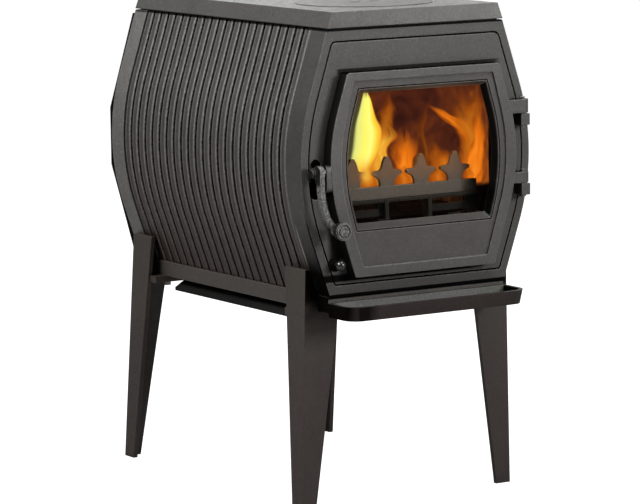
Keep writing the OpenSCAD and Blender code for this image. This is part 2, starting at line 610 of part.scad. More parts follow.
front_plate();
left_side_plate();
right_side_plate();
back_plate();
base_plate();
top_plate();
top_gasket();
top_studs();
top_nuts();
tie_rods();
tie_rod_nuts();
flue_collar();
flue_screws();
rear_heat_shield();
rear_shield_spacers();
rear_shield_screws();
bottom_heat_shield();
bottom_shield_spacers();
bottom_shield_screws();
front_left_leg();
front_right_leg();
rear_left_leg();
rear_right_leg();
leg_bolts();
ash_shelf();
shelf_bolts();
fire_bed();
grate();
pan_rails();
ash_pan();
ash_pan_handle();
left_firebricks();
right_firebricks();
rear_firebrick();
baffle_plate();
log_retainer();
air_frame();
air_frame_screws();
hinge_pins();
latch_keeper();
air_escutcheon();
door_frame();
door_gasket();
door_glass();
glass_gasket();
glass_clips();
glass_clip_screws();
handle_lever();
handle_knob();
knob_screw();
handle_pin();
handle_washer();
air_rod();
air_knob();
air_damper();
hot_plate();
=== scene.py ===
import math
import random

import bmesh
import bpy
from mathutils import Matrix, Vector, noise


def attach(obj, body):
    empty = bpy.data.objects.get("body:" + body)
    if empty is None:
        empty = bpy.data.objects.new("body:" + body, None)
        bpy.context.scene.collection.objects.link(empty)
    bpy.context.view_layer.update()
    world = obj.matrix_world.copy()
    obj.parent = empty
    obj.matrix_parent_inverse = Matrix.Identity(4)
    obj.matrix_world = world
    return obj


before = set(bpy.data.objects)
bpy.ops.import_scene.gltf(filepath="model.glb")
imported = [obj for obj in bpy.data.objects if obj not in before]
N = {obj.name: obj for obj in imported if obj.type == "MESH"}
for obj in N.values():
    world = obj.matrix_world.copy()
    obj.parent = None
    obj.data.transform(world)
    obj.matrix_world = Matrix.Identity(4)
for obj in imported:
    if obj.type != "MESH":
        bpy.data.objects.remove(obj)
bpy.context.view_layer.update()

scene = bpy.context.scene
scene.view_settings.view_transform = "Standard"
scene.view_settings.look = "None"
Y0 = -0.280  # the front plate's face in the row's frame


# ---------------------------------------------------------------- camera
def camera():
    yaw, pitch, roll = math.radians(32.098), math.radians(7.911), math.radians(-0.785)
    fwd = Vector((math.sin(yaw) * math.cos(pitch), math.cos(yaw) * math.cos(pitch), -math.sin(pitch)))
    right = Vector((math.cos(yaw), -math.sin(yaw), 0))
    up = right.cross(fwd)
    r2 = right * math.cos(roll) + up * math.sin(roll)
    u2 = up * math.cos(roll) - right * math.sin(roll)
    m = Matrix((r2, u2, -fwd)).transposed().to_4x4()
    m.translation = Vector((-2.9342, -4.40726 + Y0, 1.10821))
    data = bpy.data.cameras.new("camera")
    data.sensor_width = 36
    data.lens = 3645.29 / 640 * 36
    data.clip_end = 200
    cam = bpy.data.objects.new("camera", data)
    cam.matrix_world = m
    scene.collection.objects.link(cam)
    scene.camera = cam


camera()


# ---------------------------------------------------------------- nodes
class Graph:
    """A material's node tree with short calls."""

    def __init__(self, name):
        self.mat = bpy.data.materials.new(name)
        self.mat.use_nodes = True
        self.t = self.mat.node_tree
        self.t.nodes.clear()
        self.out = self.t.nodes.new("ShaderNodeOutputMaterial")
        self.coord = self.t.nodes.new("ShaderNodeTexCoord").outputs["Object"]

    def node(self, kind, ins=None, **attrs):
        n = self.t.nodes.new(kind)
        for k, v in attrs.items():
            setattr(n, k, v)
        for k, v in (ins or {}).items():
            if isinstance(v, bpy.types.NodeSocket):
                self.t.links.new(v, n.inputs[k])
            else:
                n.inputs[k].default_value = v
        return n

    def noise(self, scale, detail=3, rough=0.55, vec=None, distortion=0.0):
        n = self.node("ShaderNodeTexNoise", {"Scale": scale, "Detail": detail, "Roughness": rough, "Distortion": distortion, "Vector": vec or self.coord})
        return n.outputs["Fac"]

    def voronoi(self, scale, vec=None, feature="F1", out="Distance"):
        n = self.node("ShaderNodeTexVoronoi", {"Scale": scale, "Vector": vec or self.coord}, feature=feature)
        return n.outputs[out]

    def scaled(self, x, y, z, vec=None):
        n = self.node("ShaderNodeMapping", {"Vector": vec or self.coord, "Scale": (x, y, z)})
        return n.outputs["Vector"]

    def remap(self, v, a, b, c, d, smooth=False):
        n = self.node("ShaderNodeMapRange", {"Value": v, "From Min": a, "From Max": b, "To Min": c, "To Max": d}, interpolation_type="SMOOTHSTEP" if smooth else "LINEAR")
        return n.outputs["Result"]

    def math(self, op, a, b=0.5, c=0.5, clamp=False):
        n = self.node("ShaderNodeMath", {0: a, 1: b, 2: c}, operation=op, use_clamp=clamp)
        return n.outputs[0]

    def mix(self, fac, a, b, kind="MIX"):
        n = self.node("ShaderNodeMix", {}, data_type="RGBA", blend_type=kind)
        for k, v in ((0, fac), (6, a), (7, b)):
            if isinstance(v, bpy.types.NodeSocket):
                self.t.links.new(v, n.inputs[k])
            else:
                n.inputs[k].default_value = v if k == 0 else (*v, 1)
        return n.outputs[2]

    def ramp(self, v, stops, interpolation="LINEAR"):
        n = self.node("ShaderNodeValToRGB", {"Fac": v})
        n.color_ramp.interpolation = interpolation
        e = n.color_ramp.elements
        while len(e) < len(stops):
            e.new(0.5)
        for el, (p, c) in zip(e, stops):
            el.position = p
            el.color = (*c, 1) if len(c) == 3 else c
        return n.outputs["Color"]

    def xyz(self, vec=None):
        n = self.node("ShaderNodeSeparateXYZ", {0: vec or self.coord})
        return n.outputs[0], n.outputs[1], n.outputs[2]

    def bump(self, height, distance, strength=1.0, normal=None):
        ins = {"Height": height, "Distance": distance, "Strength": strength}
        if normal is not None:
            ins["Normal"] = normal
        return self.node("ShaderNodeBump", ins).outputs["Normal"]

    def surface(self, shader):
        self.t.links.new(shader, self.out.inputs["Surface"])
        return self.mat

    def principled(self, **ins):
        return self.node("ShaderNodeBsdfPrincipled", {k.replace("_", " "): v for k, v in ins.items()}).outputs["BSDF"]


def mul(c, k):
    return tuple(x * k for x in c)


def iron(name, base, rough=0.5, grain=1.0, round_r=0.0018, low_shade=0.0, side=None, grooves=None, wear_and_highlight_k=0.6, spec=0.5, fine_scale=620, soot=None, skin=1.0, hot=None, inner=None, painted_occlusion=1.0, painted_side_light=1.0, speckle=0.0, sheen=None, zones=()):
    """Satin painted sand-cast iron: soft mottling, fine grain, small pits, and rounded, slightly polished edges with a
    painted highlight along them.
    """
    g = Graph(name)
    x, y, z = g.xyz()
    big = g.noise(7, 4, 0.6)
    mid = g.noise(48, 4, 0.6)
    cast = g.noise(260, 4, 0.65)
    fine = g.noise(fine_scale, 3, 0.6)
    grit = g.noise(1500, 2, 0.6)
    col = g.mix(g.remap(big, 0.3, 0.7, 0, 1), mul(base, 0.86), mul(base, 1.10))
    col = g.mix(g.remap(mid, 0.35, 0.75, 0, 0.40), col, mul(base, 1.25))
    col = g.mix(g.remap(cast, 0.52, 0.72, 0, 0.75 * skin), col, mul(base, 1.9))
    col = g.mix(g.remap(cast, 0.30, 0.46, 0.6 * skin, 0), col, mul(base, 0.45))
    col = g.mix(g.remap(fine, 0.30, 0.44, 0.55, 0), col, mul(base, 0.40))
    if speckle:
        # bright and dark grains of the rough casting skin; the bright grains are painted glints
        grains = g.noise(620, 2, 0.7)
        col = g.mix(g.remap(grains, 0.50, 0.60, 0, speckle), col, mul(base, 4.5))
        col = g.mix(g.remap(grains, 0.46, 0.38, 0, speckle), col, mul(base, 0.15))
    # painted shade: darker and browner towards the bottom
    if low_shade:
        col = g.mix(g.remap(z, 0.58, 0.29, 0, low_shade), col, (base[0] * 0.62, base[1] * 0.48, base[2] * 0.42))
    if painted_occlusion:
        # painted shade: darker in narrow grooves and beside raised pieces, where shade falls
        near = g.node("ShaderNodeAmbientOcclusion", {"Distance": 0.005}, samples=5, only_local=True).outputs["AO"]
        wide_shade = g.node("ShaderNodeAmbientOcclusion", {"Distance": 0.026}, samples=5).outputs["AO"]
        crease_shade = g.math("MULTIPLY", g.remap(near, 0.30, 0.80, 1, 0), 0.90 * painted_occlusion)
        col = g.mix(crease_shade, col, mul(base, 0.06))
        col = g.mix(g.math("MULTIPLY", g.remap(wide_shade, 0.25, 0.80, 1, 0), 0.55 * painted_occlusion), col, mul(base, 0.10))
    edge = g.node("ShaderNodeBevel", {"Radius": round_r}, samples=6).outputs["Normal"]
    geo = g.node("ShaderNodeNewGeometry")
    dot = g.node("ShaderNodeVectorMath", {0: edge, 1: geo.outputs["Normal"]}, operation="DOT_PRODUCT").outputs["Value"]
    # painted highlight, partly real wear: the rounded edges are lightened and made glossier
    wear_and_highlight = g.math("MULTIPLY", g.remap(dot, 0.990, 0.84, 0, 1), g.remap(cast, 0.36, 0.58, 0.25, 1.0))
    col = g.mix(g.math("MULTIPLY", wear_and_highlight, wear_and_highlight_k), col, mul(base, 4.2))
    r = g.remap(g.noise(90, 4, 0.6), 0.3, 0.7, rough - 0.07, rough + 0.08)
    r = g.math("ADD", r, g.remap(fine, 0.35, 0.65, -0.05, 0.06))
    r = g.math("SUBTRACT", r, g.math("MULTIPLY", wear_and_highlight, 0.12))
    level = None
    # painted light and shade: faces turned sideways are made lighter or darker
    if painted_side_light != 1.0:
        nf = g.xyz(g.node("ShaderNodeTexCoord").outputs["Normal"])
        col = g.mix(g.remap(g.math("ABSOLUTE", nf[0]), 0.6, 0.85, 0, 1), col, g.mix(1.0, col, (painted_side_light, painted_side_light, painted_side_light), "MULTIPLY"))
    if side is not None:
        # painted shade: the rim behind the door's face is darkened and its sheen lowered
        nx, ny, nz = g.xyz(g.node("ShaderNodeTexCoord").outputs["Normal"])
        flat = g.remap(g.math("ABSOLUTE", ny), 0.25, 0.75, 1, 0)
        deep_shade = g.math("MULTIPLY", g.remap(y, side[0], side[1], 0, side[2], True), flat)
        col = g.mix(deep_shade, col, mul(base, 0.08))
        level = g.remap(deep_shade, 0, 1, spec, spec * 0.12)
    if hot is not None:
        # scaled by the fire at the top; darkened towards the right end as painted shade
        col = g.mix(g.remap(z, 0.466, 0.486, 0, hot), col, g.mix(mid, (0.092, 0.050, 0.024), (0.150, 0.085, 0.044)))
        col = g.mix(g.remap(x, 0.104, 0.130, 0, 0.93, True), col, mul(base, 0.06))
    if inner is not None:
        # faces towards the fire are sooted
        nn = g.xyz(g.node("ShaderNodeTexCoord").outputs["Normal"])
        turned = g.remap(nn[1], 0.5, 0.9, 0, 1) if inner == "y" else g.remap(g.math("MULTIPLY", nn[0], g.math("SIGN", x)), -0.35, -0.75, 0, 1)
        col = g.mix(turned, col, g.mix(mid, (0.004, 0.0035, 0.003), (0.011, 0.010, 0.009)))
        if name == "door_iron":
            # painted shade on the lower part of the window's right cheek
            cheek_shade = g.math("MULTIPLY", g.remap(nn[0], -0.3, -0.5, 0, 1), g.math("MULTIPLY", g.remap(z, 0.468, 0.452, 0, 1), g.remap(x, 0.09, 0.10, 0, 1)))
            col = g.mix(cheek_shade, col, mul(base, 0.08))
    if soot is not None:
        # painted shade inside the latch pocket: darkened and without sheen
        near = g.math("MULTIPLY", g.remap(x, soot[0], soot[0] + 0.001, 0, 1), g.remap(x, soot[1] - 0.001, soot[1], 1, 0))
        near = g.math("MULTIPLY", near, g.math("MULTIPLY", g.remap(z, soot[2], soot[2] + 0.001, 0, 1), g.remap(z, soot[3] - 0.001, soot[3], 1, 0)))
        near = g.math("MULTIPLY", near, g.remap(y, Y0 + 0.0012, Y0 + 0.0035, 0, 1))
        col = g.mix(near, col, mul(base, 0.04))
        level = g.remap(near, 0, 1, spec, 0.02)
    if grooves is not None:
        # painted shade and highlight across each rib: black grooves, bright shoulders, a darker crown; the grooves also
        # lose their sheen
        ph = g.math("FRACT", g.math("DIVIDE", g.math("SUBTRACT", y, grooves[0]), grooves[1]))
        ph = g.math("ADD", ph, g.remap(cast, 0.3, 0.7, -0.016, 0.016))
        rib_light_and_shade = g.ramp(ph, [(0.0, (0.01,) * 3), (0.125, (0.02,) * 3), (0.165, (1.85,) * 3), (0.220, (1.75,) * 3), (0.275, (0.75,) * 3), (0.46, (0.45,) * 3),
                           (0.60, (0.62,) * 3), (0.715, (1.25,) * 3), (0.785, (1.15,) * 3), (0.845, (0.03,) * 3), (1.0, (0.01,) * 3)])
        # painted shade: darker and browner where the plate turns under
        col = g.mix(g.remap(z, 0.50, 0.31, 0, 1, True), col, g.mix(1.0, col, (0.54, 0.38, 0.34), "MULTIPLY"))
        rib_light_and_shade = g.mix(g.remap(cast, 0.35, 0.65, 0.0, 0.22), rib_light_and_shade, (0.85, 0.85, 0.85))
        ribbed = g.math("MULTIPLY", g.remap(y, grooves[0] - 0.001, grooves[0], 0, 1), g.remap(y, grooves[0] + 0.480, grooves[0] + 0.481, 1, 0))
        col = g.mix(ribbed, col, g.mix(1.0, col, rib_light_and_shade, "MULTIPLY"))
        col = g.mix(g.math("MULTIPLY", ribbed, g.remap(z, 0.52, 0.38, 0, 0.34, True)), col, g.mix(1.0, col, rib_light_and_shade, "MULTIPLY"))
        near = g.math("ABSOLUTE", g.math("SUBTRACT", ph, 0.5))
        level = g.remap(g.math("MULTIPLY", g.remap(near, 0.35, 0.40, 0, 1), ribbed), 0, 1, spec, spec * 0.06)
    if zones:
        # painted shade, shadow and highlight, and some soot and tone changes, in the places listed for each piece
        axes = dict(zip(("x", "y", "z"), (x, y, z)))
        axes.update(zip(("nx", "ny", "nz"), g.xyz(g.node("ShaderNodeTexCoord").outputs["Normal"])))
        axes["side"] = g.math("ABSOLUTE", axes["nx"])
        axes["in"] = g.math("MULTIPLY", axes["nx"], g.math("SIGN", x))
        dull = None
        for tint, limits in zones:
            m = None
            for key, a, b in limits:
                k = g.remap(axes[key], a, b, 0, 1)
                m = k if m is None else g.math("MULTIPLY", m, k)
            col = g.mix(m, col, g.mix(1.0, col, tint, "MULTIPLY"))
            if max(tint) < 0.4:
                dull = m if dull is None else g.math("MAXIMUM", dull, m)
        if dull is not None:
            keep = g.remap(dull, 0, 1, 1, 0.06)
            level = g.math("MULTIPLY", keep, spec if level is None else level)
    if sheen is not None:
        level = g.remap(x, sheen[0], sheen[1], sheen[2], sheen[3])
    n1 = g.bump(g.noise(30, 3, 0.5), 0.0009 * grain, 0.5, edge)
    n2 = g.bump(cast, 0.00045 * grain, 0.7, n1)
    n3 = g.bump(fine, 0.00024 * grain, 0.8, n2)
    n4 = g.bump(grit, 0.00008 * grain, 0.8, n3)
    ins = {"Base Color": col, "Roughness": r, "Normal": n4}
    ins["Specular IOR Level"] = spec if level is None else level
    return g.surface(g.node("ShaderNodeBsdfPrincipled", ins).outputs["BSDF"])


def sheet_metal(name, base, rough=0.55, spec=0.5):
    g = Graph(name)
    brush = g.noise(40, 4, 0.6, g.scaled(1, 1, 12))
    spots = g.noise(160, 4, 0.6)
    col = g.mix(g.remap(g.noise(9, 4, 0.6), 0.3, 0.7, 0, 1), mul(base, 0.75), mul(base, 1.25))
    col = g.mix(g.remap(spots, 0.58, 0.72, 0, 0.5), col, mul(base, 1.9))
    r = g.remap(brush, 0.3, 0.7, rough - 0.08, rough + 0.1)
    return g.surface(g.principled(Base_Color=col, Roughness=r, Specular_IOR_Level=spec, Normal=g.bump(g.noise(14, 2, 0.5), 0.0012, 0.4, g.bump(spots, 0.00006, 0.6))))


def steel(name, base, rough=0.38):
    g = Graph(name)
    turned = g.noise(420, 3, 0.6, g.scaled(1, 0.15, 1))
    heat = g.noise(26, 3, 0.6)
    col = g.mix(g.remap(heat, 0.35, 0.7, 0, 1), base, (base[0] * 0.75, base[1] * 0.66, base[2] * 0.56))
    col = g.mix(g.remap(g.noise(300, 4, 0.7), 0.55, 0.75, 0, 0.7), col, mul(base, 0.35))
    r = g.remap(turned, 0.3, 0.7, rough - 0.1, rough + 0.14)
    return g.surface(g.principled(Base_Color=col, Roughness=r, Metallic=1.0, Normal=g.bump(turned, 0.00008, 0.7)))


def firebrick(name, base):
    g = Graph(name)
    x, y, z = g.xyz()
    grains = g.noise(260, 4, 0.7)
    pits = g.voronoi(180)
    col = g.mix(g.remap(g.noise(14, 5, 0.6), 0.3, 0.7, 0, 1), mul(base, 0.7), mul(base, 1.25))
    col = g.mix(g.remap(grains, 0.55, 0.7, 0, 0.6), col, mul(base, 0.5))
    soot = g.math("MULTIPLY", g.remap(g.noise(11, 4, 0.65), 0.35, 0.6, 0.35, 1), g.remap(z, 0.46, 0.56, 1.15, 0.9))
    col = g.mix(g.math("MULTIPLY", soot, 0.85), col, (0.012, 0.010, 0.009))
    h = g.math("ADD", g.remap(pits, 0.0, 0.35, 0, 1), g.math("MULTIPLY", grains, 0.8))
    return g.surface(g.principled(Base_Color=col, Roughness=g.remap(grains, 0.3, 0.7, 0.82, 0.98), Normal=g.bump(h, 0.0006, 0.7)))


def rope(name, base):
    g = Graph(name)
    x, y, z = g.xyz()
    a = g.node("ShaderNodeTexWave", {"Vector": g.scaled(1, 1, 1), "Scale": 95, "Distortion": 1.2, "Detail": 2.0}, wave_type="BANDS", bands_direction="DIAGONAL").outputs["Fac"]
    fib = g.noise(900, 3, 0.7)
    col = g.mix(g.remap(a, 0.2, 0.8, 0, 1), mul(base, 0.5), mul(base, 1.5))
    col = g.mix(g.remap(fib, 0.4, 0.7, 0, 0.6), col, mul(base, 2.2))
    return g.surface(g.principled(Base_Color=col, Roughness=g.remap(fib, 0.3, 0.7, 0.85, 1.0), Sheen_Weight=0.3, Normal=g.bump(a, 0.0005, 0.8, g.bump(fib, 0.0002, 0.7))))


def pane(name):
    """Flat glass that lamps shine through, a little smoked in soft blotches."""
    g = Graph(name)
    x, y, z = g.xyz()
    film = g.noise(6, 4, 0.6)
    r = g.remap(film, 0.3, 0.7, 0.01, 0.05)
    glass = g.principled(Base_Color=g.mix(g.remap(film, 0.35, 0.7, 0, 1), (0.97, 0.955, 0.93), (0.90, 0.87, 0.82)), Roughness=r, IOR=1.14, Transmission_Weight=1.0)
    clear = g.node("ShaderNodeBsdfTransparent", {"Color": (0.95, 0.93, 0.90, 1)}).outputs[0]
    path = g.node("ShaderNodeLightPath")
    fac = g.math("MAXIMUM", path.outputs["Is Shadow Ray"], path.outputs["Is Diffuse Ray"])
    return g.surface(g.node("ShaderNodeMixShader", {0: fac, 1: glass, 2: clear}).outputs[0])


BODY = (0.0565, 0.0545, 0.0515)
DOOR_TOP, DOOR_LOW = 0.6427, 0.346
FRONT, SIDE, UP = ("ny", -0.85, -0.95), ("side", 0.60, 0.80), ("nz", 0.85, 0.97)
M = {
    # sides lightened as painted light; black painted shade on the sides just under the top plate
    "back": iron("back_iron", BODY, 0.47, low_shade=0.35, painted_side_light=1.68, zones=[((0.05, 0.05, 0.05), [SIDE, ("z", 0.7012, 0.7022)])]),
    # painted shade: black along the top of the front face and on the sides near the front; the front face below that
    # black line is lightened
    "base": iron("base_iron", (0.046, 0.0395, 0.0345), 0.47, low_shade=0.3, zones=[
        ((0.03, 0.03, 0.03), [FRONT, ("z", 0.3130, 0.3142)]),
        ((2.5, 2.7, 2.8), [FRONT, ("z", 0.3142, 0.3130)]),
        ((0.04, 0.04, 0.04), [SIDE, ("y", Y0 + 0.037, Y0 + 0.030)])]),
    # painted shade: sides darkened, lower sides nearly black, black latch pocket, black lines along the bottom edge,
    # under and above the door and under the top plate, dark plate between the handle and the door, black groove floors;
    # a painted highlight along the lower front edge of each side; edges lightened as painted highlight and wear
    "front": iron("front_iron", BODY, 0.45, low_shade=0.35, inner="y", painted_side_light=0.58, wear_and_highlight_k=0.95, skin=0.6, soot=(-0.1853, -0.1657, 0.4602, 0.5203), zones=[
        ((0.05, 0.042, 0.036), [SIDE, ("z", 0.445, 0.350)]),
        ((0.12, 0.11, 0.10), [SIDE, ("z", 0.450, 0.420), ("y", Y0 + 0.0065, Y0 + 0.0045)]),
        ((16.0, 15.6, 15.0), [SIDE, ("z", 0.425, 0.375), ("y", Y0 + 0.0348, Y0 + 0.0358), ("y", Y0 + 0.0392, Y0 + 0.0382)]),
        ((0.22, 0.22, 0.19), [FRONT, ("x", -0.158, -0.149), ("x", -0.10, -0.12), ("z", 0.447, 0.436), ("z", 0.3695, 0.3745)]),
        ((0.03, 0.03, 0.03), [FRONT, ("z", 0.3212, 0.3200)]),
        ((0.04, 0.04, 0.04), [FRONT, ("z", DOOR_LOW - 0.0078, DOOR_LOW - 0.0064), ("z", DOOR_LOW + 0.006, DOOR_LOW + 0.002), ("x", 0.128, 0.085)]),
        ((0.05, 0.05, 0.05), [("z", 0.7014, 0.7024), ("ny", 0.5, 0.2)]),
        ((0.32, 0.32, 0.32), [FRONT, ("z", DOOR_TOP + 0.0052, DOOR_TOP + 0.0040), ("z", DOOR_TOP - 0.004, DOOR_TOP - 0.002), ("x", 0.150, 0.138), ("x", -0.139, -0.134)]),
        ((0.04, 0.04, 0.04), [FRONT, ("y", Y0 + 0.0010, Y0 + 0.0016)]),
        ((0.06, 0.06, 0.06), [("nz", 0.6, 0.8), ("z", 0.45, 0.44), ("y", Y0 + 0.0003, Y0 + 0.0007), ("y", Y0 + 0.0050, Y0 + 0.0040)])]),
    # painted shade: darker and browner low down, black grooves, bright shoulders and a darker crown on each rib, black
    # just under the top plate; edges lightened as painted highlight and wear
    "ribs": iron("rib_iron", mul(BODY, 1.10), 0.44, low_shade=1.0, inner="x", grooves=(-0.238, 0.480 / 22, 0.97), wear_and_highlight_k=0.9, round_r=0.0020, grain=1.7, skin=1.3, zones=[
        ((0.05, 0.05, 0.05), [("z", 0.7012, 0.7022)]),
        ((0.12, 0.11, 0.10), [("in", -0.35, -0.75), ("y", -0.135, -0.160)])]),
    # painted shade on the rim behind the face, on the door's top faces, in the grooves, on faces slanted up and forward
    # and on the window's right bevel; the upper border, the left strip beside the window and the outer face lightened
    # as painted light
    "door": iron("door_iron", BODY, 0.43, inner="y", side=(Y0 - 0.0205, Y0 - 0.0180, 1.0), wear_and_highlight_k=1.0, skin=0.5, zones=[
        ((1.10, 1.10, 1.10), [FRONT, ("y", Y0 - 0.0200, Y0 - 0.0212)]),
        ((1.14, 1.14, 1.13), [FRONT, ("z", 0.600, 0.628)]),
        ((0.10, 0.10, 0.10), [("nz", 0.6, 0.8), ("z", DOOR_TOP - 0.008, DOOR_TOP - 0.005)]),
        ((1.25, 1.23, 1.24), [FRONT, ("x", -0.118, -0.132), ("z", 0.44, 0.47)]),
        ((0.95, 0.89, 0.87), [FRONT, ("y", Y0 - 0.0212, Y0 - 0.0200), ("y", Y0 - 0.0165, Y0 - 0.0180)]),
        ((0.05, 0.05, 0.05), [FRONT, ("y", Y0 - 0.0180, Y0 - 0.0176), ("y", Y0 - 0.0160, Y0 - 0.0166)]),
        ((0.62, 0.60, 0.57), [("nz", 0.50, 0.65), ("ny", -0.40, -0.55)]),
        ((0.10, 0.10, 0.10), [("nx", -0.55, -0.68), ("ny", -0.40, -0.52), ("y", Y0 - 0.0180, Y0 - 0.0165)])]),
    # painted sheen: the top lighter to the right and darker to the left, the front face lightened; black painted shade
    # just under the plate's edge
    "top": iron("top_iron", mul(BODY, 1.05), 0.42, grain=0.9, skin=0.7, sheen=(-0.16, 0.14, 0.36, 0.74), zones=[
        ((1.18, 1.18, 1.17), [UP, ("x", -0.03, 0.14)]), ((0.90, 0.90, 0.89), [UP, ("x", -0.06, -0.15)]), ((1.32, 1.30, 1.27), [FRONT]),
        ((0.12, 0.12, 0.12), [("z", 0.7074, 0.7066)])]),
    "plate": iron("hot_plate_iron", mul(BODY, 0.96), 0.44, grain=0.9, skin=0.8, spec=0.44),
    # painted shade on the handle's left faces; the bright grains are painted glints
    "rough": iron("handle_iron", (0.060, 0.0585, 0.057), 0.27, grain=5.0, round_r=0.0016, fine_scale=300, wear_and_highlight_k=0.9, skin=1.4, spec=0.75, speckle=0.75, zones=[
        ((0.10, 0.10, 0.10), [("nx", -0.55, -0.75), ("z", 0.481, 0.487), ("z", 0.530, 0.520)])]),
    # painted shade on the knob's sides; the bright grains are painted glints
    "knob": iron("knob_iron", (0.058, 0.0565, 0.055), 0.30, grain=5.0, round_r=0.0014, fine_scale=300, wear_and_highlight_k=1.0, skin=1.4, spec=0.7, speckle=0.8, zones=[
        ((0.16, 0.16, 0.15), [("ny", -0.45, -0.15)])]),
    "ball": iron("ball_iron", (0.012, 0.0118, 0.0112), 0.17, grain=1.2, round_r=0.0008, spec=0.9, painted_occlusion=0.0),
    "void": iron("black_iron", (0.004, 0.0038, 0.0035), 0.75, grain=1.5, spec=0.04),
    # front faces lightened as painted light; black painted shade in the top corner of the front legs' flanges; lighter
    # in the middle and darker and browner towards the foot
    "low": iron("leg_iron", (0.030, 0.0220, 0.0178), 0.50, round_r=0.0016, skin=0.5, zones=[
        ((1.09, 1.16, 1.14), [("z", 0.19, 0.27), ("z", 0.50, 0.45)]),
        ((0.79, 0.70, 0.71), [("z", 0.23, 0.11)]),
        ((1.12, 1.04, 1.04), [FRONT]),
        ((0.07, 0.06, 0.055), [("ny", -0.7, -0.9), ("z", 0.272, 0.312), ("y", -0.20, -0.24)])]),
    # the tray's floor and back wall much lighter; painted shade on the rim's top, the tray's right inner wall and the
    # shelf's left end; the rim's front darker towards its left end, and the right end a little darker
    "shelf": iron("shelf_iron", (0.0222, 0.0142, 0.0124), 0.50, round_r=0.0012, wear_and_highlight_k=0.30, spec=0.28, painted_occlusion=0.2, skin=0.7, zones=[
        ((8.4, 13.0, 14.3), [("nz", 0.85, 0.97), ("z", 0.3050, 0.3000)]),
        ((7.4, 11.6, 12.9), [FRONT, ("y", Y0 - 0.0062, Y0 - 0.0045)]),
        ((0.12, 0.12, 0.12), [("x", 0.1405, 0.1435), ("y", Y0 - 0.001, Y0 - 0.003), ("z", 0.3078, 0.3070), ("nx", -0.5, -0.8)]),
        ((0.45, 0.45, 0.45), [UP, ("z", 0.3075, 0.3082)]),
        ((0.35, 0.37, 0.33), [FRONT, ("x", -0.105, -0.125), ("y", Y0 - 0.030, Y0 - 0.040)]),
        ((0.10, 0.10, 0.10), [("x", -0.138, -0.152), ("nz", 0.9, 0.7)]),
        ((0.80, 0.85, 0.72), [("x", 0.095, 0.125), ("nz", 0.9, 0.7)])]),
    # heat colour at the top, painted shade towards the right end
    "fire_iron": iron("fire_iron", (0.062, 0.054, 0.044), 0.62, grain=1.8, hot=0.95, painted_occlusion=0.0),
    "dark_iron": iron("sooty_iron", (0.009, 0.008, 0.007), 0.75, grain=1.8, spec=0.12),
    # no heat colour, but painted shade towards the right end
    "frame_iron": iron("frame_iron", (0.020, 0.0192, 0.0178), 0.80, grain=1.6, hot=0.0, painted_occlusion=0.0, spec=0.10),
    "sheet": sheet_metal("shield_sheet", (0.0080, 0.0078, 0.0075), 0.65, 0.12),
    "rear_sheet": sheet_metal("rear_shield_sheet", (0.013, 0.0125, 0.012), 0.5),
    "pan": sheet_metal("pan_sheet", (0.03, 0.028, 0.026)),
    "steel": steel("dull_steel", (0.30, 0.285, 0.27)),
    "brick": firebrick("firebrick", (0.36, 0.28, 0.19)),
    "rope": rope("rope", (0.011, 0.0105, 0.010)),
    "glass": pane("stove_glass"),
}
WHO = {
    "back": "back_plate",
    "base": "base_plate",
    "front": "front_plate",
    "ribs": "left_side_plate right_side_plate",
    "top": "top_plate",
    "plate": "hot_plate",
    "door": "door_frame",
    "rough": "handle_lever handle_pin hinge_pins",
    "knob": "handle_knob",
    "ball": "air_knob",
    "void": "latch_keeper air_escutcheon",
    "low": "front_left_leg front_right_leg rear_left_leg rear_right_leg flue_collar",
    "shelf": "ash_shelf",
    "fire_iron": "log_retainer",
    "frame_iron": "air_frame",
    "dark_iron": "fire_bed grate air_frame_screws glass_clips glass_clip_screws",
    "sheet": "bottom_heat_shield",
    "rear_sheet": "rear_heat_shield",
    "pan": "pan_rails ash_pan",
    "steel": "top_studs top_nuts tie_rods tie_rod_nuts flue_screws rear_shield_spacers rear_shield_screws bottom_shield_spacers bottom_shield_screws leg_bolts shelf_bolts ash_pan_handle handle_washer knob_screw air_rod air_damper",
    "brick": "left_firebricks right_firebricks rear_firebrick baffle_plate",
    "rope": "top_gasket door_gasket glass_gasket",
    "glass": "door_glass",
}
for key, names in WHO.items():
    for n in names.split():
        o = N[n]
        o.data.materials.clear()
        o.data.materials.append(M[key])


def soften(o, width=0.0008, angle=32, segments=2, smooth=True):
    """Rounds a casting's edges a little, on the shown mesh only."""
    for p in o.data.polygons:
        p.use_smooth = smooth
    w = o.modifiers.new("weld", "WELD")
    w.merge_threshold = 0.000002
    if width:
        b = o.modifiers.new("edges", "BEVEL")
        b.width = width
        b.segments = segments
        b.limit_method = "ANGLE"
        b.angle_limit = math.radians(angle)
        b.harden_normals = True
        b.use_clamp_overlap = True
    else:
        e = o.modifiers.new("edges", "EDGE_SPLIT")
        e.split_angle = math.radians(angle)


for n, o in N.items():
    soften(o, 0, 28)


# ---------------------------------------------------------------- fire
Z = 0.001  # the fire is laid out in millimetres from the front face, as the castings are


def spot(x, y, z):
    return Vector((x * Z, Y0 + y * Z, z * Z))


def smooth_path(P, n):
    """n + 1 points on a smooth line through P."""
    out = []
    m = len(P) - 1
    for i in range(n + 1):
        t = i / n * m
        k = min(int(t), m - 1)
        f = t - k
        p0, p1, p2, p3 = P[max(k - 1, 0)], P[k], P[k + 1], P[min(k + 2, m)]
        out.append([0.5 * (2 * b + (c - a) * f + (2 * a - 5 * b + 4 * c - d) * f * f + (3 * b - a - 3 * c + d) * f ** 3)
                    for a, b, c, d in zip(p0, p1, p2, p3)])
    return out


